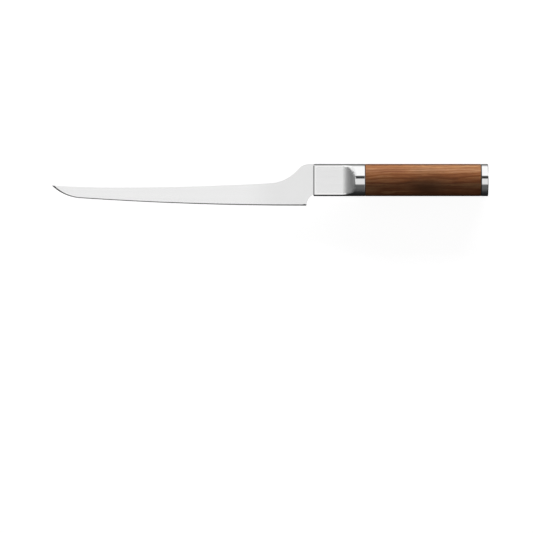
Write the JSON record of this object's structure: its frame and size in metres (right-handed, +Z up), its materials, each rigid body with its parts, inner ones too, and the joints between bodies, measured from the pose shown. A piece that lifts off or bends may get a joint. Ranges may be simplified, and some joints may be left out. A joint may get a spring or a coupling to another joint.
{
  "type": "fillet knife",
  "caption": "Slim fillet knife: thin wedge-ground blade stepped down from a round steel bolster with milled flats, a turned walnut grip and a steel end cap.",
  "frame": {"origin": "under the middle of the knife, on the surface that the handle lies on", "axes": "+X from the point to the butt along the handle's axis, +Y from the cutting edge to the spine, +Z up through the blade's thickness"},
  "size_m": [0.3082, 0.0296, 0.0228],
  "materials": {
    "blade_steel": "fine satin, ground along the blade",
    "bolster_steel": "polished, with satin flats",
    "plain_steel": "as turned or zinc plated",
    "fibre": "matt dark vulcanised fibre",
    "walnut": "oiled, fine sanded"
  },
  "bodies": {
    "root": {"blade": "blade_steel", "bolster": "bolster_steel", "tang_rod": "plain_steel", "tang_rivets": "plain_steel", "front_liner": "fibre", "grip": "walnut", "clamp_washer": "plain_steel", "spring_washer": "plain_steel", "clamp_nut": "plain_steel", "rear_liner": "fibre", "end_cap": "bolster_steel"}
  },
  "joints": []
}
